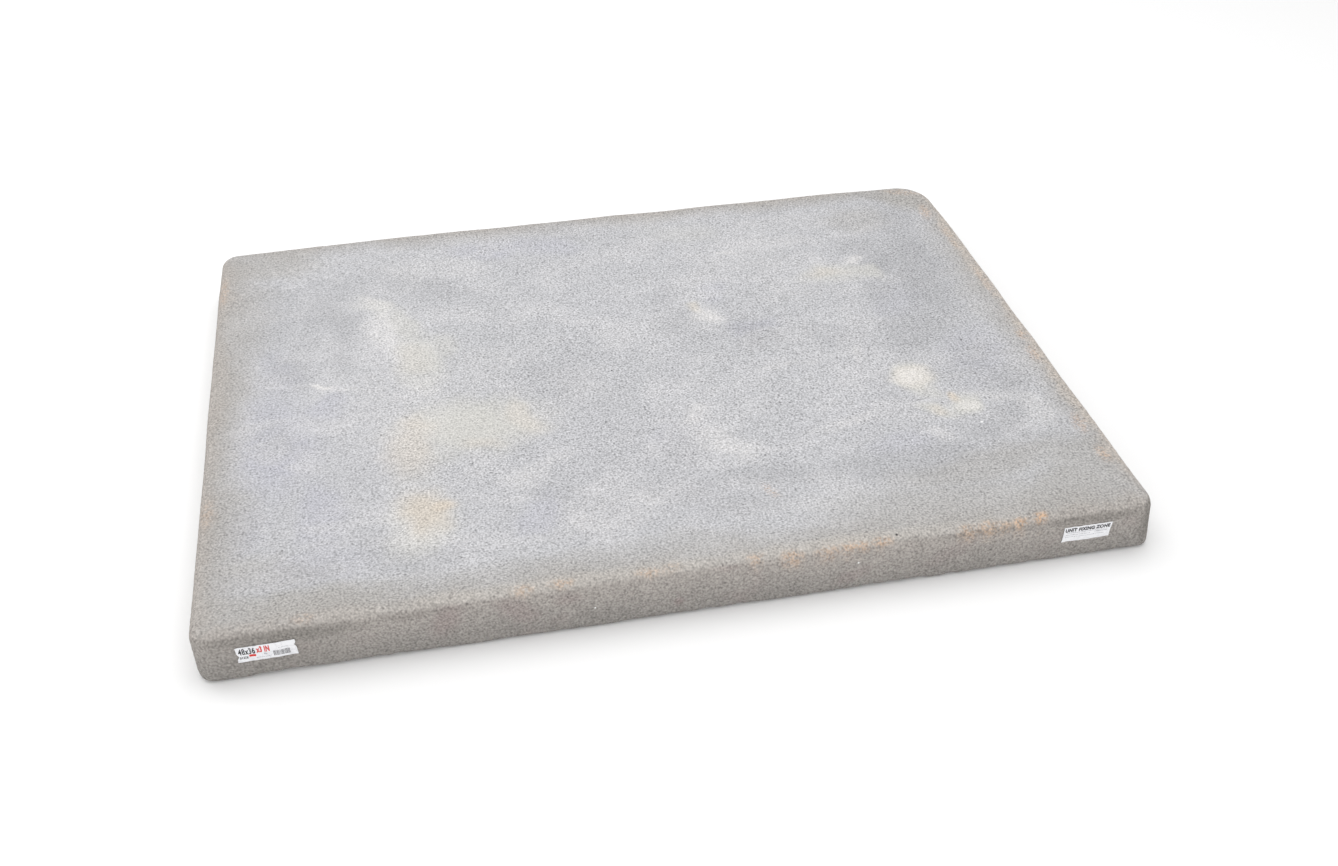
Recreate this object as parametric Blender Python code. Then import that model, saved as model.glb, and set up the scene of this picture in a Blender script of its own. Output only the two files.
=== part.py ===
"""Lightweight concrete equipment pad, with a foam core and cast-in steel anchor strips.

Metres, +Z up. +X runs along the pad's length, and the labelled face looks towards -Y.
The origin is the middle of the underside, on the ground.
"""

import math

import bmesh
import bpy
from mathutils import Matrix, Vector

# Driving dimensions
INCH = 0.0254
LENGTH = 48 * INCH
WIDTH = 36 * INCH
THICKNESS = 3 * INCH
GAP = 0.0003  # between pieces that touch

# Outside form of the casting. The corners are unlike, and are named by their side of X and of Y
CORNER_RADII = {(-1, -1): 0.023, (1, -1): 0.026, (-1, 1): 0.026, (1, 1): 0.050}
TOP_EDGE_RADIUS = 0.016
BOTTOM_EDGE_RADIUS = 0.009
CORNER_SEGMENTS = 8
TOP_EDGE_SEGMENTS = 4
BOTTOM_EDGE_SEGMENTS = 3

# Concrete round the core
WALL = 0.038
TOP_SKIN = 0.012
BASE_SKIN = 0.010
POCKET_CORNER_RADIUS = 0.020
POCKET_CORNER_SEGMENTS = 5

# Welded wire mesh: the wires along X lie above the wires along Y, and bite into them
WIRE_DIAMETER = 0.002
WIRE_SIDES = 8
WELD_BITE = 0.0005
WIRE_PITCH = 0.100
WIRES_ALONG_X = 8
WIRES_ALONG_Y = 11
WIRE_OVERHANG = 0.045  # past the last crossing

# Steel anchor strips, let into the top of the core
STRIP_WIDTH = 0.050
STRIP_GAUGE = 0.0015
STRIP_LENGTH = 0.800
STRIP_OFFSET = 0.520  # from the middle of the pad
KEY_HOLE_RADIUS = 0.008
KEY_HOLE_PITCH = 0.100
KEY_HOLES = 8
KEY_HOLE_SIDES = 16

# Paper labels on the front face, given as (middle along X, middle height, width, height, tilt)
LABEL_GAUGE = 0.0003
PRODUCT_LABEL = (-0.5232, 0.0416, 0.0700, 0.0235, math.radians(1.2))
STRIP_LABEL = (0.5132, 0.0427, 0.0660, 0.0238, math.radians(-0.2))
LABEL_SEAT_MARGIN = 0.001

# Heights that follow from the sizes above
MESH_LAYER = 2 * WIRE_DIAMETER - WELD_BITE
SKIN_UNDERSIDE = THICKNESS - TOP_SKIN
TOP_MESH_LOW = SKIN_UNDERSIDE - GAP - MESH_LAYER
CORE_TOP = TOP_MESH_LOW - GAP
BOTTOM_MESH_LOW = BASE_SKIN + GAP
CORE_BOTTOM = BOTTOM_MESH_LOW + MESH_LAYER + GAP
POCKET_LENGTH = LENGTH - 2 * WALL
POCKET_WIDTH = WIDTH - 2 * WALL

SAME_HEIGHT = 1e-6  # corners this close in height lie in one level face
COLLECTION = "equipment_pad"
HELPERS = "cutters"


def clear_scene():
    for obj in list(bpy.data.objects):
        bpy.data.objects.remove(obj)
    for name in (COLLECTION, HELPERS):
        bpy.context.scene.collection.children.link(bpy.data.collections.new(name))


def material(name, colour, roughness, metallic=0.0):
    made = bpy.data.materials.new(name)
    made.use_nodes = True
    shader = made.node_tree.nodes["Principled BSDF"]
    shader.inputs["Base Color"].default_value = (*colour, 1.0)
    shader.inputs["Roughness"].default_value = roughness
    shader.inputs["Metallic"].default_value = metallic
    made.diffuse_color = (*colour, 1.0)
    return made


def add_object(name, data, collection=COLLECTION, finish=None):
    obj = bpy.data.objects.new(name, data)
    bpy.data.collections[collection].objects.link(obj)
    if finish:
        data.materials.append(finish)
    return obj


def mesh_object(name, bm, collection=COLLECTION, finish=None):
    bmesh.ops.recalc_face_normals(bm, faces=bm.faces)
    mesh = bpy.data.meshes.new(name)
    bm.to_mesh(mesh)
    bm.free()
    return add_object(name, mesh, collection, finish)


def block(length, width, low, high):
    """A box centred on the Z axis, standing between two heights."""
    bm = bmesh.new()
    bmesh.ops.create_cube(bm, size=1.0)
    bmesh.ops.scale(bm, vec=(length, width, high - low), verts=bm.verts)
    bmesh.ops.translate(bm, vec=(0, 0, (low + high) / 2), verts=bm.verts)
    return bm


def round_corners(bm, radii, segments):
    """Rounds the four upright edges, each by the radius for its corner."""
    for (side_x, side_y), radius in radii.items():
        corner = [v for v in bm.verts if v.co.x * side_x > 0 and v.co.y * side_y > 0]
        upright = [e for e in bm.edges if all(v in corner for v in e.verts)]
        bevel(bm, upright, radius, segments)


def alike(radius):
    """The same radius for all four corners."""
    return dict.fromkeys(CORNER_RADII, radius)


def round_rim(bm, height, radius, segments):
    """Rounds the edges of the flat face at this height."""
    rim = [e for e in bm.edges if all(abs(v.co.z - height) < SAME_HEIGHT for v in e.verts)]
    bevel(bm, rim, radius, segments)


def bevel(bm, edges, radius, segments):
    bmesh.ops.bevel(
        bm, geom=edges, offset=radius, segments=segments, profile=0.5, affect="EDGES"
    )


def as_cutter(obj):
    obj.hide_render = True
    obj.display_type = "WIRE"
    return obj


def combine(obj, other, operation):
    boolean = obj.modifiers.new(other.name, "BOOLEAN")
    boolean.operation = operation
    boolean.object = other
    boolean.solver = "EXACT"


def label_cutter(name, label):
    """A shallow seat in the front face, so that the label lies flush in it."""
    x, z, width, height, tilt = label
    depth = 2 * (LABEL_GAUGE + GAP)
    bm = bmesh.new()
    bmesh.ops.create_cube(bm, size=1.0)
    size = (width + 2 * LABEL_SEAT_MARGIN, depth, height + 2 * LABEL_SEAT_MARGIN)
    bmesh.ops.scale(bm, vec=size, verts=bm.verts)
    seat = as_cutter(mesh_object(name, bm, HELPERS))
    seat.location = (x, -WIDTH / 2, z)
    seat.rotation_euler = (0, -tilt, 0)
    return seat


def concrete_shell(concrete):
    """The cast face and side walls: a rounded block, hollowed from below."""
    bm = block(LENGTH, WIDTH, 0, THICKNESS)
    round_corners(bm, CORNER_RADII, CORNER_SEGMENTS)
    round_rim(bm, THICKNESS, TOP_EDGE_RADIUS, TOP_EDGE_SEGMENTS)
    round_rim(bm, 0, BOTTOM_EDGE_RADIUS, BOTTOM_EDGE_SEGMENTS)
    shell = mesh_object("concrete_shell", bm, finish=concrete)
    pocket = block(POCKET_LENGTH, POCKET_WIDTH, -THICKNESS, SKIN_UNDERSIDE)
    round_corners(pocket, alike(POCKET_CORNER_RADIUS), POCKET_CORNER_SEGMENTS)
    combine(shell, as_cutter(mesh_object("pocket", pocket, HELPERS)), "DIFFERENCE")
    combine(shell, label_cutter("product_label_seat", PRODUCT_LABEL), "DIFFERENCE")
    combine(shell, label_cutter("strip_label_seat", STRIP_LABEL), "DIFFERENCE")


def inner_block(name, low, high, finish):
    """A block that fills the pocket's outline, with clearance."""
    bm = block(POCKET_LENGTH - 2 * GAP, POCKET_WIDTH - 2 * GAP, low, high)
    round_corners(bm, alike(POCKET_CORNER_RADIUS - GAP), POCKET_CORNER_SEGMENTS)
    return mesh_object(name, bm, finish=finish)


def foam_core(foam):
    """The light block inside, with a rebate in its top for each anchor strip."""
    core = inner_block("foam_core", CORE_BOTTOM, CORE_TOP, foam)
    depth = STRIP_GAUGE + 2 * GAP
    for side in (-1, 1):
        size = (STRIP_WIDTH + 2 * GAP, STRIP_LENGTH + 2 * GAP)
        bm = block(*size, CORE_TOP - depth, CORE_TOP + depth)
        rebate = as_cutter(mesh_object(f"strip_rebate_{side}", bm, HELPERS))
        rebate.location.x = side * STRIP_OFFSET
        combine(core, rebate, "DIFFERENCE")


def anchor_strip(name, x, steel):
    """A flat steel strip from front to back, with holes that key it into the concrete."""
    high = CORE_TOP - GAP
    strip = mesh_object(name, block(STRIP_WIDTH, STRIP_LENGTH, high - STRIP_GAUGE, high), finish=steel)
    strip.location.x = x
    for index in range(KEY_HOLES):
        y = (index - (KEY_HOLES - 1) / 2) * KEY_HOLE_PITCH
        bm = bmesh.new()
        bmesh.ops.create_cone(
            bm, cap_ends=True, segments=KEY_HOLE_SIDES, depth=4 * STRIP_GAUGE,
            radius1=KEY_HOLE_RADIUS, radius2=KEY_HOLE_RADIUS,
        )
        drill = as_cutter(mesh_object(f"{name}_hole_{index}", bm, HELPERS))
        drill.location = (x, y, high - STRIP_GAUGE / 2)
        combine(strip, drill, "DIFFERENCE")


def wire(bm, start, end):
    """Adds a straight round wire between two points that share a height."""
    run = Vector(end) - Vector(start)
    turn = Vector((0, 0, 1)).rotation_difference(run).to_matrix().to_4x4()
    bmesh.ops.create_cone(
        bm, cap_ends=True, segments=WIRE_SIDES, depth=run.length,
        radius1=WIRE_DIAMETER / 2, radius2=WIRE_DIAMETER / 2,
        matrix=Matrix.Translation((Vector(start) + Vector(end)) / 2) @ turn,
    )


def wires(count, reach, height, along_x):
    """Parallel wires, evenly spaced about the middle."""
    bm = bmesh.new()
    for index in range(count):
        place = (index - (count - 1) / 2) * WIRE_PITCH
        if along_x:
            wire(bm, (-reach, place, height), (reach, place, height))
        else:
            wire(bm, (place, -reach, height), (place, reach, height))
    return bm


def welded_mesh(name, low, steel):
    """Two layers of crossing wires, welded into one sheet."""
    radius = WIRE_DIAMETER / 2
    reach_x = (WIRES_ALONG_Y - 1) / 2 * WIRE_PITCH + WIRE_OVERHANG
    reach_y = (WIRES_ALONG_X - 1) / 2 * WIRE_PITCH + WIRE_OVERHANG
    lower = wires(WIRES_ALONG_Y, reach_y, low + radius, along_x=False)
    upper = wires(WIRES_ALONG_X, reach_x, low + MESH_LAYER - radius, along_x=True)
    sheet = mesh_object(name, lower, finish=steel)
    other = as_cutter(mesh_object(f"{name}_upper_wires", upper, HELPERS))
    combine(sheet, other, "UNION")


def label(name, spot, outline, paper):
    """A paper label: a flat outline in the front face, notched at its ends."""
    x, z, width, height, tilt = spot
    curve = bpy.data.curves.new(name, "CURVE")
    curve.dimensions = "2D"
    curve.fill_mode = "BOTH"
    curve.extrude = LABEL_GAUGE / 2
    spline = curve.splines.new("POLY")
    spline.points.add(len(outline) - 1)
    for point, (u, v) in zip(spline.points, outline):
        point.co = (u * width / 2, v * height / 2, 0, 1)
    spline.use_cyclic_u = True
    obj = add_object(name, curve, finish=paper)
    upright = Matrix.Rotation(math.pi / 2, 4, "X")
    tilted = Matrix.Rotation(-tilt, 4, "Y")
    seat = Matrix.Translation((x, -WIDTH / 2 + LABEL_GAUGE / 2, z))
    obj.matrix_world = seat @ tilted @ upright


def build():
    clear_scene()
    concrete = material("cast_concrete", (0.43, 0.42, 0.42), 0.95)
    base_concrete = material("base_concrete", (0.33, 0.32, 0.30), 0.95)
    foam = material("polystyrene_foam", (0.86, 0.87, 0.88), 0.8)
    galvanised = material("galvanised_steel", (0.62, 0.64, 0.66), 0.4, 0.9)
    mesh_wire = material("mesh_wire", (0.42, 0.41, 0.40), 0.45, 0.9)
    paper = material("label_paper", (0.85, 0.86, 0.88), 0.6)
    concrete_shell(concrete)
    inner_block("concrete_base", 0, BASE_SKIN, base_concrete)
    foam_core(foam)
    anchor_strip("anchor_strip_left", -STRIP_OFFSET, galvanised)
    anchor_strip("anchor_strip_right", STRIP_OFFSET, galvanised)
    welded_mesh("top_mesh", TOP_MESH_LOW, mesh_wire)
    welded_mesh("bottom_mesh", BOTTOM_MESH_LOW, mesh_wire)
    torn_ends = [
        (-1, -1), (0.1, -1), (0.18, -1.04), (0.26, -1), (1, -1), (0.93, -0.35), (0.97, 0.1),
        (0.93, 0.35), (1, 1), (-1, 1), (-0.95, 0.35), (-1, 0.1), (-0.94, -0.4),
    ]
    label("product_label", PRODUCT_LABEL, torn_ends, paper)
    cut_ends = [(-1, -1), (0.97, -1), (1, 0.2), (0.96, 0.5), (1, 1), (-0.96, 1), (-0.93, -0.3)]
    label("anchor_strip_label", STRIP_LABEL, cut_ends, paper)


build()
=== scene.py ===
"""The looks of a precast concrete equipment pad: a pebbly cast surface with stains, and two paper labels.

Metres, in the CAD model's frame: +X along the length, -Y towards the viewer, +Z up.
"""

import math
import random

import bmesh
import bpy
import numpy as np
from mathutils import Matrix, Vector, noise


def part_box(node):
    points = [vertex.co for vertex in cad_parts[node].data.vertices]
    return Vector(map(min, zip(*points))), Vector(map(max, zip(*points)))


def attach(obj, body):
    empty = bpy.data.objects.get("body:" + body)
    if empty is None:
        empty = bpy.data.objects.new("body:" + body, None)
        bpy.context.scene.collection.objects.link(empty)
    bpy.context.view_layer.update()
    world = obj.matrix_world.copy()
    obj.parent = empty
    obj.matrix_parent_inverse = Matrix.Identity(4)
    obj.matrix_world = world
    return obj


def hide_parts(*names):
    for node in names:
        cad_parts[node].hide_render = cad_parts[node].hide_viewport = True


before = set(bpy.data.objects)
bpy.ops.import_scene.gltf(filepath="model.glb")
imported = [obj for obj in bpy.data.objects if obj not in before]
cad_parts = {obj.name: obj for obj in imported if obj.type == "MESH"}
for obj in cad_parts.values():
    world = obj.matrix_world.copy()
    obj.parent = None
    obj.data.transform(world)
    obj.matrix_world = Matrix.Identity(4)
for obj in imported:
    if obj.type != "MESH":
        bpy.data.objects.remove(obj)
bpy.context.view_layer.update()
SHELL_LOW, SHELL_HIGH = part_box("concrete_shell")
_, BASE_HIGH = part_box("concrete_base")
LENGTH, WIDTH, THICKNESS = SHELL_HIGH - SHELL_LOW

# Camera, as the pad was seen: where it stands, and which way it looks, in degrees
CAMERA_PLACE = (-0.2915, -1.7167, 1.2619)
CAMERA_HEADING = 11.394  # right of +Y
CAMERA_DIP = 37.149  # below the horizon
CAMERA_ROLL = -0.272
CAMERA_LENS = 38.395
SENSOR_WIDTH = 36

# Lights, all aimed at the pad: (name, place, size, power)
LIGHTS = [
    ("overhead", (0.0, 0.5, 3.0), (3.2, 2.6), 38),
    ("back_left", (-2.6, 1.8, 1.8), (1.4, 1.0), 15),
    ("front", (-0.6, -3.0, 1.6), (2.4, 1.6), 12),
]
SKY_STRENGTH = 0.80
FLOOR_SIZE = 40

# Form of the casting
CELL = 0.004  # spacing of the shell's grid
BASE_CELL = 0.009
EDGE_TOP = 0.016  # radius of the top edge
EDGE_BOTTOM = 0.008
EDGE_TOP_WANDER = 0.16  # part of the radius by which it varies along the edge
EDGE_BOTTOM_WANDER = 0.35
# Each corner in plan: its radius at the top and at the bottom, and how far the top edge rolls over there
CORNERS = {
    (-1, -1): (0.024, 0.021, 0.016),
    (1, -1): (0.031, 0.014, 0.018),
    (-1, 1): (0.027, 0.024, 0.019),
    (1, 1): (0.057, 0.045, 0.022),
}
CORNER_REACH = 0.16  # the roll of a corner fades out this far from it
# Where the top face droops a little: (x, y, depth, reach)
DROOPS = [
    (-0.6096, 0.4572, 0.0032, 0.300),
    (0.6096, 0.4572, 0.0010, 0.200),
    (0.6096, -0.370, 0.0014, 0.090),
]
# Lumps of the cast surface: (lumps per metre, offset of the noise, height)
RELIEF = [(5.0, 1.0, 0.0005), (14.0, 4.0, 0.0003), (48.0, 7.0, 0.00014), (230.0, 5.0, 0.00030)]
RAGGED_HEIGHT = 0.012  # how far up the lower edge is ragged
RAGGED_DEPTH = 0.0035
TOP_SETTLING = 0.0006  # keeps the lumps of the top face inside the pad's thickness
LABEL_SEAT = 0.0004  # the wall is flat, and this much lower, under a label
LABEL_MARGIN = 0.005
FRONT_SKIN = 0.010  # how far behind the front plane the wall under a label is looked for
SWEEP_DEPTH = 0.0022  # trowel marks on the underside
BASE_GRIT = 0.0003
BASE_EDGE = 0.010  # the marks fade out over this width at the underside's edge
# The pocket for the core, open below
POCKET_CORNER = 0.020
POCKET_CEILING = 0.0642
GAP = 0.0003  # between pieces that touch
RIM, CEILING = -1, -2  # marks on the grid for the pocket's edge and its ceiling

# How much light the stage puts on the top and front faces
TOP_LIGHT = 1.12
SIDE_LIGHT = 0.985

# The lower front edge is chipped: places along X, and how high it is lifted there
CHIP_ALONG = (-0.548, -0.536, -0.515, -0.500, -0.488, -0.440, -0.400)
CHIP_LIFT = (0.0, 0.0030, 0.0026, 0.0032, 0.0018, 0.0010, 0.0)
CHIP_HEIGHT = 0.024  # the lift fades out by this height
CHIP_DEPTH = 0.020  # and reaches this far in from the front

# Where the labels lie on the front face: (middle along X, middle height, width, height, tilt)
LABEL_SPOTS = {
    "product_label": (-0.5232, 0.0416, 0.0700, 0.0235, math.radians(1.2)),
    "anchor_strip_label": (0.5132, 0.0427, 0.0660, 0.0238, math.radians(-0.2)),
}

# The torn ends of each label: how far in from its middle the paper reaches, going up its height
LABEL_ENDS = {
    "product_label": (
        ((0.0, 0.0350), (0.20, 0.0348), (0.38, 0.0322), (0.58, 0.0345), (1.0, 0.0352)),
        ((0.0, 0.0352), (0.50, 0.0346), (0.66, 0.0322), (0.80, 0.0344), (1.0, 0.0340)),
    ),
    "anchor_strip_label": (
        ((0.0, 0.0341), (0.15, 0.0330), (0.60, 0.0325), (1.0, 0.0326)),
        ((0.0, 0.0320), (0.50, 0.0324), (0.85, 0.0331), (1.0, 0.0335)),
    ),
}
PAPER_THICKNESS = 0.00025
INK_DEPTH, INK_HEIGHT = 0.00010, 0.00005  # below and above the paper
PAPER_LIFT = 0.00075  # how far the paper stands off the wall
CREASE_HEIGHT = 0.00070
PAPER_GRIT = 0.00014
CURL_START, CURL = 0.80, 0.012  # the ends lift from this part of the half width on
LABEL_SAG = (0.0, -0.0004, 0.0005)  # at the left end, a little right of the middle, and at the right end
RAGGED_PAPER = 0.0002
LETTER_SPACING = 1.10
LABEL_CELL = 0.001
SLICE = 0.0015
SHARP_ANGLE = math.radians(50)
PAPER, BLACK_INK, RED_INK, GREY_INK = range(4)
# Generic printing: (text, ink, boldness, left, right, bottom, top), in metres from the label's middle
LETTERING = {
    "product_label": (
        ("48x36", BLACK_INK, 0.030, -0.0325, -0.0132, -0.0006, 0.0094),
        ("x3 IN", RED_INK, 0.048, -0.0118, 0.0036, 0.0000, 0.0098),
        ("SIZE", BLACK_INK, 0.03, -0.0322, -0.0220, -0.0068, -0.0034),
        ("No", GREY_INK, 0.03, -0.0036, 0.0000, -0.0042, -0.0012),
    ),
    "anchor_strip_label": (("UNIT FIXING ZONE", BLACK_INK, 0.055, -0.0305, 0.0312, 0.0036, 0.0096),),
}
# Printed blocks: (ink, left, right, bottom, top)
BLOCKS = {"product_label": ((RED_INK, -0.0208, -0.0130, -0.0050, -0.0014),), "anchor_strip_label": ()}
# Rows of bars: (ink, left, right, bottom, top, shortest bar, longest bar, gap)
BARS = {
    "product_label": (
        (BLACK_INK, 0.0070, 0.0262, -0.0086, -0.0004, 0.0003, 0.0008, 0.0006),
        (GREY_INK, 0.0140, 0.0250, 0.0030, 0.0036, 0.0006, 0.0018, 0.0006),
        (GREY_INK, -0.0130, 0.0040, -0.0078, -0.0072, 0.0006, 0.0018, 0.0006),
    ),
    "anchor_strip_label": (
        (GREY_INK, -0.0280, 0.0290, 0.0016, 0.0022, 0.0008, 0.0024, 0.0007),
        (GREY_INK, 0.0110, 0.0285, -0.0010, -0.0002, 0.0008, 0.0024, 0.0006),
        (GREY_INK, -0.0290, 0.0050, -0.0018, -0.0012, 0.0008, 0.0024, 0.0007),
        (GREY_INK, -0.0290, 0.0240, -0.0050, -0.0044, 0.0008, 0.0024, 0.0007),
    ),
}

# Stains on the top face: (x, y, half length, half width, direction in degrees, strength)
CREAM = [
    (-0.358, 0.230, 0.065, 0.030, -64, 0.38),
    (-0.322, 0.168, 0.105, 0.036, -64, 0.45),
    (-0.312, 0.078, 0.090, 0.054, 84, 0.58),
    (-0.272, 0.095, 0.055, 0.036, 80, 0.38),
    (-0.312, 0.025, 0.060, 0.040, 90, 0.34),
    (-0.255, -0.112, 0.155, 0.086, -2, 0.72),
    (-0.180, -0.104, 0.076, 0.040, -68, 0.60),
    (-0.300, -0.150, 0.080, 0.048, 0, 0.40),
    (-0.330, -0.200, 0.090, 0.042, 90, 0.20),
    (-0.326, -0.298, 0.088, 0.066, 75, 0.60),
    (0.355, 0.187, 0.078, 0.042, 5, 0.50),
    (0.415, 0.176, 0.045, 0.030, -50, 0.50),
    (0.393, -0.120, 0.054, 0.042, 100, 0.90),
    (0.402, -0.158, 0.036, 0.020, 90, 0.40),
    (0.446, -0.206, 0.036, 0.024, 40, 0.80),
    (0.400, -0.208, 0.048, 0.022, -25, 0.55),
    (0.122, 0.130, 0.022, 0.014, -60, 0.45),
    (0.160, 0.355, 0.090, 0.045, -10, 0.22),
]
YELLOW = [
    (-0.322, 0.078, 0.065, 0.036, 84, 0.14),
    (0.396, -0.118, 0.045, 0.036, 0, 0.42),
    (-0.325, -0.092, 0.045, 0.040, 90, 0.45),
    (-0.335, -0.140, 0.085, 0.052, 90, 0.42),
    (-0.176, -0.108, 0.056, 0.032, -66, 0.32),
    (-0.240, -0.150, 0.035, 0.020, 0, 0.25),
    (-0.325, -0.280, 0.062, 0.048, 96, 0.70),
    (-0.303, -0.276, 0.028, 0.024, 0, 0.90),
    (0.122, 0.131, 0.018, 0.012, -60, 0.35),
    (0.430, -0.180, 0.016, 0.012, 90, 0.80),
    (0.400, -0.210, 0.020, 0.012, 0, 0.35),
    (0.350, 0.190, 0.045, 0.024, 0, 0.28),
]
WHITE = [
    (-0.360, 0.166, 0.115, 0.042, -76, 0.54),
    (-0.358, 0.234, 0.065, 0.028, -64, 0.44),
    (-0.172, -0.108, 0.052, 0.028, -66, 0.22),
    (0.138, 0.096, 0.040, 0.034, -58, 0.64),
    (-0.452, 0.028, 0.035, 0.007, -32, 0.80),
    (-0.415, 0.014, 0.045, 0.007, -14, 0.40),
    (-0.500, 0.040, 0.050, 0.012, 10, 0.20),
    (0.394, -0.118, 0.042, 0.036, 0, 0.70),
    (0.380, -0.100, 0.030, 0.018, 120, 0.35),
    (0.448, -0.206, 0.020, 0.015, 0, 0.55),
    (0.067, -0.138, 0.032, 0.024, 60, 0.38),
    (0.076, -0.205, 0.055, 0.030, -50, 0.30),
    (0.105, -0.238, 0.078, 0.034, -35, 0.42),
    (0.276, -0.205, 0.085, 0.016, 15, 0.25),
    (0.380, -0.255, 0.040, 0.020, -10, 0.35),
    (0.548, -0.225, 0.070, 0.035, -60, 0.32),
    (0.485, -0.190, 0.070, 0.014, -40, 0.25),
    (-0.187, -0.240, 0.055, 0.035, 20, 0.36),
    (-0.155, -0.208, 0.055, 0.018, 30, 0.28),
    (-0.080, -0.325, 0.140, 0.070, 5, 0.26),
    (-0.046, -0.309, 0.040, 0.016, 15, 0.30),
    (-0.348, -0.306, 0.058, 0.028, -58, 0.34),
    (-0.305, -0.338, 0.050, 0.020, -20, 0.30),
    (-0.455, 0.388, 0.060, 0.022, -10, 0.12),
    (0.408, 0.217, 0.024, 0.014, 40, 0.60),
    (0.300, 0.300, 0.110, 0.035, -10, 0.22),
    (0.210, 0.282, 0.040, 0.009, -20, 0.45),
    (0.215, -0.055, 0.085, 0.010, 10, 0.22),
    (0.330, -0.040, 0.030, 0.010, 60, 0.35),
    (-0.270, 0.330, 0.140, 0.055, -15, 0.24),
    (-0.335, -0.060, 0.180, 0.110, 90, 0.22),
    (-0.215, 0.050, 0.080, 0.070, 0, 0.18),
    (0.290, 0.150, 0.100, 0.060, 0, 0.17),
    (0.240, 0.255, 0.110, 0.060, 0, 0.18),
    (0.090, 0.412, 0.070, 0.040, 0, 0.20),
    (0.330, 0.355, 0.110, 0.050, 0, 0.17),
    (-0.090, -0.030, 0.060, 0.050, 0, 0.16),
]
DARK = [
    (-0.300, 0.285, 0.150, 0.040, -38, 0.28),
    (-0.345, 0.318, 0.045, 0.026, -60, 0.32),
    (-0.412, 0.190, 0.120, 0.030, -82, 0.42),
    (-0.465, 0.262, 0.060, 0.035, 80, 0.35),
    (-0.515, 0.230, 0.130, 0.055, 88, 0.38),
    (-0.420, 0.090, 0.075, 0.028, -85, 0.34),
    (-0.500, 0.080, 0.080, 0.055, 90, 0.44),
    (-0.470, 0.150, 0.060, 0.040, -80, 0.30),
    (-0.120, -0.030, 0.120, 0.070, -30, 0.12),
    (-0.165, -0.275, 0.055, 0.030, -20, 0.28),
    (0.000, -0.290, 0.080, 0.030, -10, 0.20),
    (0.076, 0.155, 0.055, 0.030, 80, 0.34),
    (0.190, 0.055, 0.055, 0.036, -20, 0.36),
    (0.125, -0.300, 0.100, 0.032, -12, 0.38),
    (0.300, -0.315, 0.150, 0.045, 6, 0.45),
    (0.422, -0.005, 0.110, 0.055, 76, 0.46),
    (0.495, -0.100, 0.100, 0.060, 60, 0.40),
    (0.425, 0.110, 0.070, 0.045, 80, 0.42),
    (0.490, 0.150, 0.220, 0.070, 88, 0.58),
    (0.440, 0.240, 0.060, 0.050, 0, 0.35),
    (0.520, 0.320, 0.090, 0.050, 90, 0.42),
    (0.475, -0.252, 0.090, 0.046, 25, 0.48),
    (-0.385, -0.335, 0.060, 0.035, -30, 0.22),
    (0.500, -0.305, 0.150, 0.055, 0, 0.36),
    (-0.420, 0.310, 0.090, 0.045, 0, 0.30),
    (0.090, -0.355, 0.085, 0.034, 0, 0.40),
    (0.030, -0.220, 0.075, 0.045, 90, 0.32),
    (0.085, 0.100, 0.060, 0.050, 90, 0.30),
    (0.310, 0.005, 0.085, 0.055, -20, 0.30),
    (-0.340, -0.375, 0.080, 0.045, 0, 0.38),
    (-0.510, -0.080, 0.090, 0.050, 90, 0.34),
    (0.385, -0.305, 0.075, 0.045, 0, 0.50),
    (0.515, -0.150, 0.080, 0.060, 90, 0.46),
    (0.565, -0.255, 0.060, 0.045, 90, 0.34),
    (0.450, 0.010, 0.090, 0.060, 90, 0.50),
    (0.450, 0.190, 0.060, 0.050, 0, 0.62),
    (-0.450, 0.240, 0.085, 0.055, 90, 0.44),
    (-0.560, 0.240, 0.150, 0.050, 90, 0.24),
    (0.020, -0.310, 0.070, 0.045, 0, 0.28),
    (0.210, 0.020, 0.060, 0.045, 0, 0.36),
    (-0.090, 0.410, 0.150, 0.040, 0, 0.20),
]
LAVENDER = [
    (-0.515, -0.100, 0.165, 0.085, 88, 0.85),
    (-0.548, -0.270, 0.070, 0.045, 90, 0.45),
    (-0.508, 0.075, 0.085, 0.045, 90, 0.65),
    (-0.446, -0.020, 0.050, 0.036, 60, 0.55),
    (-0.447, -0.262, 0.110, 0.042, -82, 0.62),
    (-0.480, -0.365, 0.120, 0.045, 5, 0.45),
    (-0.170, 0.378, 0.110, 0.042, -8, 0.62),
    (-0.070, 0.365, 0.080, 0.040, 0, 0.50),
    (0.155, 0.165, 0.045, 0.032, 90, 0.60),
    (0.195, 0.055, 0.055, 0.040, 0, 0.65),
    (0.505, -0.090, 0.110, 0.070, 80, 0.45),
    (0.440, 0.080, 0.090, 0.060, 70, 0.35),
    (0.330, -0.265, 0.070, 0.034, 10, 0.40),
    (-0.175, -0.315, 0.075, 0.036, 60, 0.55),
    (0.010, -0.195, 0.040, 0.030, 0, 0.35),
]
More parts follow.
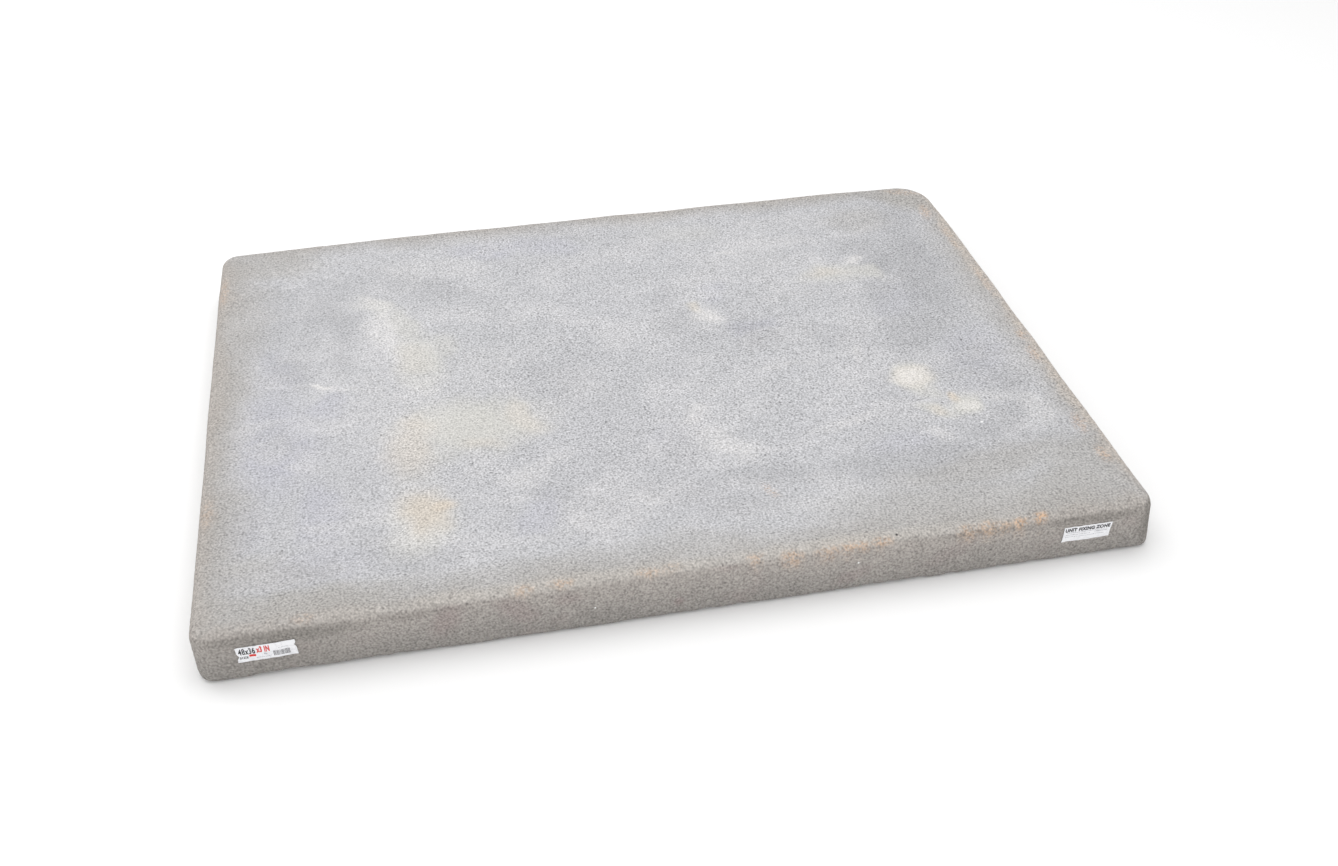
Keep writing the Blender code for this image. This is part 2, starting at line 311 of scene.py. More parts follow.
# Broad warm patches, mostly where the border's brown runs further in
OLIVE = [
    (-0.545, 0.395, 0.100, 0.050, -20, 0.50),
    (-0.200, 0.450, 0.450, 0.035, 0, 0.50),
    (0.555, 0.405, 0.100, 0.065, -40, 0.85),
    (-0.570, -0.260, 0.090, 0.060, 80, 0.35),
    (-0.555, 0.230, 0.160, 0.050, 90, 0.30),
    (-0.535, -0.350, 0.070, 0.035, 20, 0.45),
    (0.450, 0.345, 0.080, 0.055, 10, 0.40),
    (0.430, -0.340, 0.220, 0.050, 8, 0.55),
    (0.560, 0.080, 0.340, 0.036, 90, 0.28),
    (0.500, -0.400, 0.180, 0.070, 8, 0.68),
    (0.350, -0.400, 0.250, 0.070, 0, 0.55),
    (-0.480, -0.425, 0.200, 0.046, 0, 0.70),
    (-0.510, -0.375, 0.120, 0.040, 0, 0.35),
    (-0.100, -0.420, 0.350, 0.040, 0, 0.40),
    (-0.530, 0.390, 0.115, 0.070, -6, 0.60),
    (0.555, -0.345, 0.110, 0.075, 10, 0.60),
]
# Rust where the top edge is rounded
RUST = [
    (-0.476, -0.445, 0.020, 0.010, 0, 0.25),
    (-0.217, -0.449, 0.022, 0.009, 0, 0.35),
    (-0.170, -0.448, 0.022, 0.009, 0, 0.45),
    (-0.064, -0.448, 0.024, 0.009, 0, 0.40),
    (-0.033, -0.448, 0.020, 0.008, 0, 0.25),
    (0.073, -0.451, 0.016, 0.009, 0, 0.40),
    (0.119, -0.454, 0.020, 0.009, 0, 0.45),
    (0.165, -0.454, 0.024, 0.006, 0, 0.40),
    (0.200, -0.452, 0.030, 0.007, 0, 0.60),
    (0.235, -0.452, 0.018, 0.007, 0, 0.60),
    (0.350, -0.453, 0.022, 0.008, 0, 0.40),
    (0.376, -0.453, 0.018, 0.009, 0, 0.55),
    (0.398, -0.453, 0.014, 0.008, 0, 0.45),
    (0.420, -0.452, 0.016, 0.008, 0, 0.75),
    (0.448, -0.450, 0.015, 0.009, 0, 0.85),
    (0.583, -0.345, 0.026, 0.014, 90, 0.40),
    (0.580, -0.275, 0.034, 0.014, 90, 0.32),
    (0.586, -0.100, 0.030, 0.012, 90, 0.32),
    (0.588, -0.050, 0.020, 0.012, 90, 0.38),
    (0.592, 0.110, 0.060, 0.009, 90, 0.26),
    (0.588, 0.257, 0.060, 0.010, 90, 0.26),
    (0.578, 0.350, 0.040, 0.014, 80, 0.32),
    (0.565, 0.425, 0.050, 0.016, -20, 0.26),
    (0.122, -0.330, 0.024, 0.009, -60, 0.32),
    (-0.600, 0.330, 0.060, 0.012, 90, 0.30),
    (-0.598, -0.230, 0.045, 0.016, 90, 0.20),
]
# Paler, worn concrete along the front edge
WORN = [
    (-0.150, -0.449, 0.400, 0.018, 0, 0.55),
    (0.200, -0.449, 0.300, 0.018, 0, 0.55),
]
EDGE_STAINS = ("rust", "worn")  # these keep to the edge, and wander less
# Patches on the front face: (x, z, half length, half height, direction in degrees, strength)
# Darker patches on the front face, near both ends just under the top edge; the last, at the right-hand
# corner, is painted shade where less light reaches
FRONT_DARKENING = [
    (-0.500, 0.060, 0.140, 0.018, 0, 0.80),
    (-0.520, 0.030, 0.120, 0.040, 0, 0.30),
    (-0.350, 0.065, 0.080, 0.008, 0, 0.35),
    (0.375, 0.066, 0.100, 0.008, 0, 0.40),
    (0.520, 0.064, 0.110, 0.012, 0, 0.70),
    (0.606, 0.045, 0.030, 0.050, 0, 1.00),
]
BLUSH = [
    (-0.311, 0.050, 0.040, 0.024, 60, 0.75),
    (-0.225, 0.048, 0.045, 0.022, -40, 0.65),
    (-0.163, 0.056, 0.025, 0.014, 0, 0.55),
    (0.035, 0.069, 0.030, 0.008, 0, 0.45),
    (0.200, 0.027, 0.040, 0.014, 20, 0.50),
    (-0.026, 0.025, 0.009, 0.008, 0, 1.00),
    (0.330, 0.042, 0.060, 0.020, 30, 0.35),
]
FRONT_PATCHES = {"front_darkening": FRONT_DARKENING, "blush": BLUSH}
TOP_STAINS = {
    "worn": WORN,
    "cream": CREAM,
    "yellow": YELLOW,
    "white": WHITE,
    "dark": DARK,
    "lavender": LAVENDER,
    "olive": OLIVE,
    "rust": RUST,
}
# The stains and patches of a face are full down to the first of these depths behind it, and gone at the
# second
TOP_STAIN_FADE = (0.010, 0.030)
FRONT_STAIN_FADE = (0.020, 0.080)
FULL_PART = 0.25  # a stain is full out to this part of its reach, then fades
# How the edges of stains wander: (size of the noise, reach, offset of the noise)
TOP_WANDER = [(0.090, 0.018, 2.0), (0.028, 0.010, 5.0)]
EDGE_WANDER = (0.015, 0.003, 8.0)
# Small marks: (x, y, z, radius)
BLACK_SPECKS = [
    (0.494, -0.045, 0.0762, 0.0022),
    (0.256, -0.447, 0.0748, 0.0022),
    (-0.034, -0.017, 0.0762, 0.002),
]
WHITE_SPECKS = [
    (0.205, -0.4572, 0.046, 0.0018),
    (0.448, -0.246, 0.0762, 0.0026),
    (-0.131, -0.4572, 0.034, 0.0016),
]

# Colours as seen on a screen, 0 to 255, in the photo's light. First, the top face:
COOL_GREY = (202, 202, 205)
LAVENDER_GREY = (197, 197, 206)
PALE_HAZE = (216, 215, 217)
DARK_GREY = (178, 178, 181)
OLIVE_GREY = (181, 178, 174)
BORDER_BROWN = (182, 178, 174)
RIM_BROWN = (189, 182, 176)
RIGHT_RIM_BUFF = (206, 197, 188)
WORN_GREY = (204, 199, 193)
CREAM_BLOOM = (220, 218, 211)
YELLOW_BLOOM = (221, 210, 196)
CHALK_WHITE = (243, 240, 238)
RUST_ORANGE = (230, 190, 154)
# The sides, with painted shade: darker than the top face, and darker still towards the ground
SIDE_SHADE_LOW = (150, 146, 142)
SIDE_SHADE_HIGH = (173, 167, 162)
SIDE_BLUSH = (158, 147, 144)
# Colour of the front's darker patches, partly painted shade
SIDE_DARKENING = (136, 132, 127)
# Specks
BLACK_GRIT = (72, 70, 70)
WHITE_GRIT = (245, 245, 245)
# The underside, and the pieces inside
BASE_DARK = (138, 134, 128)
BASE_LIGHT = (168, 164, 158)
BEAD_WHITE = (240, 242, 244)
BEAD_SEAM = (214, 218, 222)
ZINC_DULL = (176, 180, 184)
ZINC_BRIGHT = (212, 215, 218)
WIRE_GREY = (150, 148, 146)
WIRE_RUST = (126, 82, 54)
# Labels
PAPER_WHITE = (241, 241, 244)
PAPER_DUST = (206, 204, 203)
PAPER_SHADE = (214, 214, 219)
# Painted shade along the paper's folds
PAPER_FOLD_SHADE = (186, 186, 192)
PAPER_UNDER_INK = (240, 240, 244)
INKS = {"black_ink": (38, 38, 42), "red_ink": (212, 58, 52), "grey_ink": (150, 151, 158)}
FLOOR_WHITE = (249, 249, 249)

# Grit of the cast surface
PEBBLE_SIZE = 0.0030
LUMP_SIZE = 0.0028
SAND_SIZE = 0.0016
PIT_SPACING = 0.0100
MEAN_RELIEF = 1.71
# How far the grit's tone follows its relief: painted shade, darker in the hollows and pits, lighter on the
# bumps
RELIEF_SHADE_CONTRAST = 0.86
PEBBLE_SHADE = 0.12  # difference in tone from pebble to pebble
CLOUD_CONTRAST = 0.16
MOTTLE_CONTRAST = 0.05
GRIT_BUMP = 0.0013
BASE_BUMP = 0.0009

# Brown border: distances in from the edge where each band is full, and where it ends
BORDER_BAND = (0.004, 0.066)
RIM_BAND = (0.000, 0.024)
RIGHT_RIM_BAND = (0.006, 0.034)
LEFT_NARROWING = 0.74  # under 1, the border is wider on that side
RIGHT_NARROWING = 1.2
SIDE_BAND = (0.0095, 0.0040)  # depths below the top where the sides' colour is full, and where it ends


def linear(colour, light=1.0):
    """The linear reflectance, with alpha, that shows as this colour, 0 to 255, under so much light."""
    parts = [c / 255 for c in colour]
    return (*[((p + 0.055) / 1.055) ** 2.4 / light for p in parts], 1.0)


def on_top(colour):
    """The reflectance that shows as this colour on the top face."""
    return linear(colour, TOP_LIGHT)


def on_side(colour):
    """The reflectance that shows as this colour on the front face."""
    return linear(colour, SIDE_LIGHT)


# Node graphs


class Graph:
    """A material's node tree, with short calls for the nodes used here."""

    def __init__(self, name, roughness=0.9, metallic=0.0, specular=0.3):
        self.material = bpy.data.materials.new(name)
        self.material.use_nodes = True
        self.tree = self.material.node_tree
        self.shader = self.tree.nodes["Principled BSDF"]
        self.shader.inputs["Roughness"].default_value = roughness
        self.shader.inputs["Metallic"].default_value = metallic
        self.shader.inputs["Specular IOR Level"].default_value = specular
        self.place = self.add("ShaderNodeTexCoord").outputs["Object"]

    def add(self, kind, inputs=(), **settings):
        node = self.tree.nodes.new(kind)
        for key, value in settings.items():
            setattr(node, key, value)
        for key, value in dict(inputs).items():
            self.feed(node.inputs[key], value)
        return node

    def feed(self, socket, value):
        if isinstance(value, bpy.types.NodeSocket):
            self.tree.links.new(value, socket)
        else:
            socket.default_value = value

    def math(self, operation, *values):
        return self.add("ShaderNodeMath", enumerate(values), operation=operation).outputs[0]

    def vector(self, operation, *values):
        return self.add("ShaderNodeVectorMath", enumerate(values), operation=operation).outputs["Vector"]

    def scaled(self, vector, factor):
        node = self.add("ShaderNodeVectorMath", {0: vector, "Scale": factor}, operation="SCALE")
        return node.outputs["Vector"]

    def noise(self, vector, size, detail=2.0, roughness=0.5):
        """Cloudy noise whose lumps are about this size across."""
        inputs = {"Vector": vector, "Scale": 1 / size, "Detail": detail, "Roughness": roughness}
        return self.add("ShaderNodeTexNoise", inputs)

    def cells(self, vector, size, feature="F1"):
        """Cells about this size across."""
        inputs = {"Vector": vector, "Scale": 1 / size}
        return self.add("ShaderNodeTexVoronoi", inputs, feature=feature).outputs

    def between(self, value, low, high, bottom=0.0, top=1.0):
        """A smooth step from bottom to top as value goes from low to high."""
        inputs = {0: value, 1: low, 2: high, 3: bottom, 4: top}
        return self.add("ShaderNodeMapRange", inputs, interpolation_type="SMOOTHSTEP").outputs[0]

    def mix(self, factor, first, second, blend="MIX"):
        node = self.add("ShaderNodeMix", {0: factor}, data_type="RGBA", blend_type=blend)
        self.feed(node.inputs[6], first)
        self.feed(node.inputs[7], second)
        return node.outputs[2]

    def painted(self, name):
        """A mask that paint_stains stored on the mesh."""
        return self.add("ShaderNodeAttribute", attribute_name=name).outputs["Fac"]

    def specks(self, places):
        """1 inside small round marks, given as (x, y, z, radius)."""
        total = 0.0
        for x, y, z, radius in places:
            reach = self.add("ShaderNodeVectorMath", {0: self.place, 1: (x, y, z)}, operation="DISTANCE")
            speck = self.between(reach.outputs["Value"], radius * 0.4, radius, 1.0, 0.0)
            total = self.math("MAXIMUM", total, speck)
        return total

    def split(self, colour_or_vector):
        """The three channels of a colour, or the three axes of a vector."""
        return self.add("ShaderNodeSeparateXYZ", {0: colour_or_vector}).outputs

    def shaded(self, colour, tone):
        """A colour made lighter or darker by a tone that varies around 1."""
        grey = self.add("ShaderNodeCombineXYZ", {0: tone, 1: tone, 2: tone}).outputs[0]
        return self.mix(1.0, colour, grey, "MULTIPLY")

    def varied(self, tone, layer, middle, contrast):
        """A tone to which a layer adds its variation around its middle value."""
        return self.math("MULTIPLY_ADD", self.math("SUBTRACT", layer, middle), contrast, tone)

    def bump(self, height, distance):
        inputs = {"Height": height, "Distance": distance, "Strength": 1.0}
        return self.add("ShaderNodeBump", inputs).outputs[0]

    def finish(self, colour, normal=None, roughness=None):
        self.feed(self.shader.inputs["Base Color"], colour)
        if normal:
            self.feed(self.shader.inputs["Normal"], normal)
        if roughness:
            self.feed(self.shader.inputs["Roughness"], roughness)
        return self.material


def grain(graph, place):
    """Pebbly grit. Returns its relief, and a tone that varies around 1 from grain to grain, with painted
    shade: darker in the hollows and pits of the relief, lighter on its bumps.
    """
    pebbles = graph.cells(place, PEBBLE_SIZE)
    shade = graph.split(pebbles["Color"])[0]
    lumps = graph.noise(place, LUMP_SIZE, 0.0).outputs[0]
    sand = graph.noise(place, SAND_SIZE, 4.0, 0.65).outputs[0]
    pits = graph.between(graph.cells(place, PIT_SPACING)["Distance"], 0.05, 0.14)
    relief = 1.0
    for layer, weight in ((pebbles["Distance"], -0.70), (lumps, 1.10), (sand, 0.32), (pits, 0.30)):
        relief = graph.math("MULTIPLY_ADD", layer, weight, relief)
    # Painted shade: the tone is darker where the relief is low
    tone = graph.varied(1.0, relief, MEAN_RELIEF, RELIEF_SHADE_CONTRAST)
    return relief, graph.varied(tone, shade, 0.5, PEBBLE_SHADE)


def wandering(graph, size, reach, detail=2.0, roughness=0.5):
    """An offset that pushes a pattern about, in any direction, by up to half this reach."""
    push = graph.noise(graph.place, size, detail, roughness).outputs["Color"]
    return graph.scaled(graph.vector("SUBTRACT", push, (0.5, 0.5, 0.5)), reach)


def concrete_material():
    """The cast face and sides: cool grey in the middle, brown towards the edges, stained and gritty, with
    painted shade on the sides and in the hollows of the grit.
    """
    graph = Graph("cast_concrete", roughness=0.92, specular=0.25)
    place = graph.place
    near = graph.vector("ADD", place, wandering(graph, 0.090, 0.045))
    near = graph.vector("ADD", near, wandering(graph, 0.016, 0.020, 3.0, 0.7))
    relief, grit = grain(graph, place)

    # Cloudy tone of the face
    clouds = graph.noise(place, 0.180, 4.0, 0.62).outputs[0]
    mottle = graph.noise(place, 0.030, 3.0, 0.6).outputs[0]
    tone = graph.varied(grit, clouds, 0.5, CLOUD_CONTRAST)
    tone = graph.varied(tone, mottle, 0.5, MOTTLE_CONTRAST)
    lavender = graph.painted("lavender")
    face = graph.mix(lavender, on_top(COOL_GREY), on_top(LAVENDER_GREY))
    drawn = graph.vector("MULTIPLY", place, (1.0, 1.7, 1.0))
    drawn = graph.vector("ADD", drawn, wandering(graph, 0.110, 0.130))
    haze = graph.between(graph.noise(drawn, 0.110, 4.0, 0.60).outputs[0], 0.44, 0.68, 0.0, 0.65)
    face = graph.mix(haze, face, on_top(PALE_HAZE))
    face = graph.mix(graph.painted("dark"), face, on_top(DARK_GREY))
    face = graph.mix(graph.painted("olive"), face, on_top(OLIVE_GREY))

    # Brown border, from the distance to the nearest edge in plan: wider on the left, narrower on the right
    axes = graph.split(near)
    from_left = graph.math("MULTIPLY_ADD", axes[0], LEFT_NARROWING, LENGTH / 2 * LEFT_NARROWING)
    from_right = graph.math("MULTIPLY_ADD", axes[0], -RIGHT_NARROWING, LENGTH / 2 * RIGHT_NARROWING)
    from_side = graph.math("SUBTRACT", WIDTH / 2, graph.math("ABSOLUTE", axes[1]))
    inset = graph.math("MINIMUM", graph.math("MINIMUM", from_left, from_right), from_side)
    border = graph.between(inset, *BORDER_BAND, 0.90, 0.0)
    border = graph.math("MULTIPLY", border, graph.math("MULTIPLY_ADD", lavender, -0.75, 1.0))
    face = graph.mix(border, face, on_top(BORDER_BROWN))
    rim = graph.between(inset, *RIM_BAND, 0.7, 0.0)
    face = graph.mix(rim, face, on_top(RIM_BROWN))
    worn = graph.between(graph.noise(place, 0.012, 3.0, 0.7).outputs[0], 0.34, 0.60, 0.3, 1.0)
    worn = graph.math("MULTIPLY", worn, graph.between(axes[1], -0.43, -0.34, 0.15, 1.0))
    right_rim = graph.math("MULTIPLY", graph.between(from_right, *RIGHT_RIM_BAND, 1.0, 0.0), worn)
    face = graph.mix(right_rim, face, on_top(RIGHT_RIM_BUFF))

    # Blooms and stains
    face = graph.mix(graph.painted("worn"), face, on_top(WORN_GREY))
    speckle = graph.between(graph.noise(place, 0.0045, 2.0, 0.7).outputs[0], 0.40, 0.62)
    white = graph.painted("white")
    bare = graph.math("MULTIPLY", graph.math("SUBTRACT", 1.0, speckle), graph.math("SUBTRACT", 1.0, white))
    chalk = graph.math("MULTIPLY", white, graph.math("SUBTRACT", 1.0, bare))
    cream = graph.painted("cream")
    face = graph.mix(cream, face, on_top(CREAM_BLOOM))
    face = graph.mix(graph.painted("yellow"), face, on_top(YELLOW_BLOOM))
    face = graph.mix(chalk, face, on_top(CHALK_WHITE))

    # Sides: a warmer grey, with painted shade: darker than the top, and darker still towards the ground
    side_shade_ramp = graph.between(axes[2], 0.0, THICKNESS)
    side = graph.mix(side_shade_ramp, on_side(SIDE_SHADE_LOW), on_side(SIDE_SHADE_HIGH))
    blush = graph.between(graph.noise(place, 0.060, 3.0, 0.6).outputs[0], 0.52, 0.74, 0.0, 0.4)
    blush = graph.math("MAXIMUM", blush, graph.painted("blush"))
    side = graph.mix(blush, side, on_side(SIDE_BLUSH))
    # Darker patches on the front; at the right-hand corner this is painted shade
    side = graph.mix(graph.painted("front_darkening"), side, on_side(SIDE_DARKENING))
    full, gone = SIDE_BAND
    beside = graph.between(graph.split(place)[2], THICKNESS - full, THICKNESS - gone, 1.0, 0.0)
    colour = graph.mix(beside, face, side)

    # Rust where the edge is rounded
    broken = graph.between(graph.noise(place, 0.0045, 3.0, 0.75).outputs[0], 0.38, 0.60)
    rust = graph.math("MULTIPLY", graph.painted("rust"), broken)
    colour = graph.mix(rust, colour, on_top(RUST_ORANGE))

    # The grit, with its painted shade, shows less under a bloom, and towards the left and front
    calm = graph.math("MAXIMUM", graph.math("MAXIMUM", white, cream), graph.painted("worn"))
    calm = graph.math("MAXIMUM", calm, graph.between(axes[1], -0.12, -0.40, 0.0, 0.40))
    calm = graph.math("MAXIMUM", calm, graph.between(axes[0], -0.20, -0.45, 0.0, 0.50))
    contrast = graph.math("MULTIPLY_ADD", calm, -0.5, 1.0)
    colour = graph.shaded(colour, graph.varied(1.0, tone, 1.0, contrast))
    colour = graph.mix(graph.specks(BLACK_SPECKS), colour, linear(BLACK_GRIT))
    colour = graph.mix(graph.specks(WHITE_SPECKS), colour, linear(WHITE_GRIT))
    return graph.finish(colour, graph.bump(relief, GRIT_BUMP))


def plain_concrete_material():
    """The floated underside: even grey with shallow sweeps and grit, with painted shade in the grit's
    hollows.
    """
    graph = Graph("base_concrete", roughness=0.93, specular=0.25)
    clouds = graph.noise(graph.place, 0.160, 4.0, 0.6).outputs[0]
    colour = graph.mix(clouds, linear(BASE_DARK), linear(BASE_LIGHT))
    relief, grit = grain(graph, graph.place)
    return graph.finish(graph.shaded(colour, grit), graph.bump(relief, BASE_BUMP))


def foam_material():
    """Expanded polystyrene: white beads pressed together."""
    graph = Graph("polystyrene_foam", roughness=0.75, specular=0.3)
    beads = graph.cells(graph.place, 0.0036)["Distance"]
    seams = graph.between(beads, 0.35, 0.75)
    colour = graph.mix(seams, linear(BEAD_WHITE), linear(BEAD_SEAM))
    return graph.finish(colour, graph.bump(beads, -0.0006))


def galvanised_material():
    """Zinc-coated strip: a mosaic of dull and bright spangles."""
    graph = Graph("galvanised_steel", metallic=0.9, roughness=0.4)
    shade = graph.split(graph.cells(graph.place, 0.009)["Color"])[0]
    colour = graph.mix(shade, linear(ZINC_DULL), linear(ZINC_BRIGHT))
    return graph.finish(colour, roughness=graph.math("MULTIPLY_ADD", shade, 0.25, 0.28))


def wire_material():
    """Drawn steel wire with a bloom of rust."""
    graph = Graph("mesh_wire", metallic=0.85, roughness=0.5)
    bloom = graph.between(graph.noise(graph.place, 0.020, 4.0, 0.7).outputs[0], 0.5, 0.66)
    colour = graph.mix(bloom, linear(WIRE_GREY), linear(WIRE_RUST))
    return graph.finish(colour, roughness=graph.math("MULTIPLY_ADD", bloom, 0.35, 0.42))


def paper_material():
    """Coated label paper, slightly creased and dusty, with painted shade along its folds and in soft patches.
    """
    graph = Graph("label_paper", roughness=0.55, specular=0.4)
    creases = graph.noise(graph.place, 0.0060, 3.0, 0.65).outputs[0]
    bent = graph.vector("ADD", graph.place, wandering(graph, 0.0080, 0.0060))
    folds = graph.cells(bent, 0.0150, "DISTANCE_TO_EDGE")["Distance"]
    fold_and_shade = graph.between(folds, 0.0, 0.034, 0.28, 0.0)
    shading = graph.noise(graph.place, 0.0100, 2.0).outputs[0]
    dust = graph.between(graph.noise(graph.place, 0.0100, 4.0, 0.7).outputs[0], 0.52, 0.76, 0.0, 0.45)
    colour = graph.mix(dust, linear(PAPER_WHITE), linear(PAPER_DUST))
    colour = graph.mix(graph.between(shading, 0.42, 0.66, 0.0, 0.35), colour, linear(PAPER_SHADE))
    # Painted shade along the folds
    colour = graph.mix(fold_and_shade, colour, linear(PAPER_FOLD_SHADE))
    relief = graph.math("MULTIPLY_ADD", fold_and_shade, -0.8, creases)
    return graph.finish(colour, graph.bump(relief, 0.0007))


def ink_material(name, colour):
    """Printing ink, worn through to the paper in places."""
    graph = Graph(name, roughness=0.6, specular=0.3)
    wear = graph.between(graph.noise(graph.place, 0.0016, 3.0, 0.7).outputs[0], 0.54, 0.72, 0.0, 0.35)
    return graph.finish(graph.mix(wear, linear(colour), linear(PAPER_UNDER_INK)))


# Shapes


def new_object(name, data, *materials):
    obj = bpy.data.objects.new(name, data)
    bpy.context.scene.collection.objects.link(obj)
    for material in materials:
        data.materials.append(material)
    return obj


def rounded_outline(x, y, half_x, half_y, radius):
    """Moves points of a square-cornered grid so that its corners are round.

    Returns the new x and y, the outward direction at the edge, and the distance in from it.
    """
    over_x = np.maximum(np.abs(x) - (half_x - radius), 0)
    over_y = np.maximum(np.abs(y) - (half_y - radius), 0)
    ring = np.maximum(over_x, over_y)
    reach = np.hypot(over_x, over_y)
    squeeze = np.divide(ring, reach, out=np.ones_like(ring), where=reach > 0)
    new_x = np.sign(x) * (np.minimum(np.abs(x), half_x - radius) + over_x * squeeze)
    new_y = np.sign(y) * (np.minimum(np.abs(y), half_y - radius) + over_y * squeeze)
    safe = np.maximum(reach, 1e-9)
    out = np.stack([np.sign(x) * over_x / safe, np.sign(y) * over_y / safe], axis=-1)
    inset = np.where(ring > 0, radius - ring, np.minimum(half_x - np.abs(x), half_y - np.abs(y)))
    return new_x, new_y, out, np.maximum(inset, 0)


def bumps(points, scale, offset):
    """Smooth noise around 0 at every point, its lumps about 1/scale across. It is the same on every run."""
    shift = Vector((offset, offset * 0.7, offset * 1.3))
    return np.array([noise.noise(Vector(p) * scale + shift) for p in points])


def cast_form(grid):
    """Bends a box-shaped grid into the worn casting: round corners, rolled edges, and the pocket.

    Returns where the points go, and which of them are on the outside.
    """
    x, y, z = grid.T
    outer = z >= 0
    rise = np.clip(z / THICKNESS, 0, 1)
    corner, roll = np.zeros_like(x), np.full_like(x, EDGE_TOP)
    for (side_x, side_y), (above, below, rolled) in CORNERS.items():
        here = (x * side_x >= 0) & (y * side_y >= 0)
        corner = np.where(here, below + (above - below) * rise, corner)
        away = np.hypot(x - side_x * LENGTH / 2, y - side_y * WIDTH / 2)
        roll = np.where(here, roll + (rolled - EDGE_TOP) * np.clip(1 - away / CORNER_REACH, 0, 1), roll)
    new_x, new_y, out, inset = rounded_outline(x, y, LENGTH / 2, WIDTH / 2, corner)
    flat = grid * (1, 1, 0)
    top_radius = roll * (1 + EDGE_TOP_WANDER * bumps(flat, 11.0, 3.0))
    low_radius = EDGE_BOTTOM * (1 + EDGE_BOTTOM_WANDER * bumps(flat, 24.0, 9.0))
    depth = THICKNESS - np.clip(z, 0, THICKNESS)
    new_z = np.clip(z, 0, THICKNESS)
    pull = np.zeros_like(x)
    for radius, near, at_top in ((top_radius, depth, True), (low_radius, THICKNESS - depth, False)):
        in_arc = outer & (inset < radius) & (near < radius)
        across, upright = radius - inset, radius - near
        size = np.maximum(np.hypot(across, upright), 1e-9)
        pull = np.where(in_arc, inset - radius + radius * across / size, pull)
        drop = radius - radius * upright / size
        new_z = np.where(in_arc, THICKNESS - drop if at_top else drop, new_z)
    new_x = new_x + out[:, 0] * pull
    new_y = new_y + out[:, 1] * pull
    pocket = BASE_HIGH.x + GAP, BASE_HIGH.y + GAP
    shrunk_x, shrunk_y = x * pocket[0] / (LENGTH / 2), y * pocket[1] / (WIDTH / 2)
    inner_x, inner_y, *_ = rounded_outline(shrunk_x, shrunk_y, *pocket, np.full_like(x, POCKET_CORNER))
    new_x = np.where(outer, new_x, inner_x)
    new_y = np.where(outer, new_y, inner_y)
    new_z = np.where(z == RIM, 0.0, np.where(z == CEILING, POCKET_CEILING, new_z))
    return np.stack([new_x, new_y, new_z], axis=-1), outer


def grid_side(bm, columns, rows, centre, right, up):
    """Adds a flat grid centred on a point, spanning the two given vectors."""
    right, up = Vector(right), Vector(up)
    matrix = Matrix.Identity(4)
    for index, axis in enumerate((right, up, right.cross(up).normalized())):
        matrix.col[index].xyz = axis
    matrix.col[3].xyz = centre
    bmesh.ops.create_grid(bm, x_segments=columns, y_segments=rows, size=0.5, matrix=matrix)


def raise_rim(bm, edges, height):
    """Draws open edges out to another height. Returns the open edges that this makes."""
    made = bmesh.ops.extrude_edge_only(bm, edges=edges)["geom"]
    for vert in (g for g in made if isinstance(g, bmesh.types.BMVert)):
        vert.co.z = height
    return [g for g in made if isinstance(g, bmesh.types.BMEdge) and g.is_boundary]


def finished(bm, name):
    """The mesh of a bmesh, which is used up."""
    mesh = bpy.data.meshes.new(name)
    bm.to_mesh(mesh)
    bm.free()
    return mesh


def boxed_grid():
    """A box without its floor, as one fine grid, with a pocket drawn up into it from below."""
    across, deep, tall = (round(side / CELL) for side in (LENGTH, WIDTH, THICKNESS))
    half_x, half_y, middle = LENGTH / 2, WIDTH / 2, THICKNESS / 2
    bm = bmesh.new()
    grid_side(bm, across, deep, (0, 0, THICKNESS), (LENGTH, 0, 0), (0, WIDTH, 0))
    grid_side(bm, across, tall, (0, -half_y, middle), (LENGTH, 0, 0), (0, 0, THICKNESS))
    grid_side(bm, across, tall, (0, half_y, middle), (-LENGTH, 0, 0), (0, 0, THICKNESS))
    grid_side(bm, deep, tall, (-half_x, 0, middle), (0, -WIDTH, 0), (0, 0, THICKNESS))
    grid_side(bm, deep, tall, (half_x, 0, middle), (0, WIDTH, 0), (0, 0, THICKNESS))
    bmesh.ops.remove_doubles(bm, verts=bm.verts, dist=CELL / 10)
    edges = [e for e in bm.edges if e.is_boundary]
    for mark in (RIM, CEILING):
        edges = raise_rim(bm, edges, mark)
    bmesh.ops.contextual_create(bm, geom=edges)
    bmesh.ops.recalc_face_normals(bm, faces=bm.faces)
    return finished(bm, "cast_shell")


def coordinates(mesh):
    found = np.empty(len(mesh.vertices) * 3)
    mesh.vertices.foreach_get("co", found)
    return found.reshape(-1, 3)


def move_vertices(mesh, places):
    mesh.vertices.foreach_set("co", np.ascontiguousarray(places, dtype=np.float32).ravel())
    mesh.update()


def normals(mesh):
    found = np.empty(len(mesh.vertices) * 3, dtype=np.float32)
    mesh.vertices.foreach_get("normal", found)
    return found.reshape(-1, 3).astype(float)


def under_labels(points):
    """1 where a label is stuck down, fading to 0 a few millimetres outside it."""
    cover = np.zeros(len(points))
    on_front = points[:, 1] < -WIDTH / 2 + FRONT_SKIN
    for x, z, width, height, _ in LABEL_SPOTS.values():
        outside = np.maximum(np.abs(points[:, 0] - x) - width / 2, np.abs(points[:, 2] - z) - height / 2)
        cover = np.maximum(cover, np.clip(1 - outside / LABEL_MARGIN, 0, 1) * on_front)
    return cover


def warped(points, size, reach, offset):
    """Points pushed about by smooth noise, so that the edges of stains wander."""
    push = [bumps(points, 1 / size, offset + 10.0 * axis) for axis in range(3)]
    return points + np.stack(push, axis=-1) * reach


def wandered(points):
    """Where points of the top face lie on the map of stains."""
    for wander in TOP_WANDER:
        points = warped(points, *wander)
    return points


def eased(part):
    """Takes 0 to 1 smoothly, with a level start and end."""
    return part * part * (3 - 2 * part)


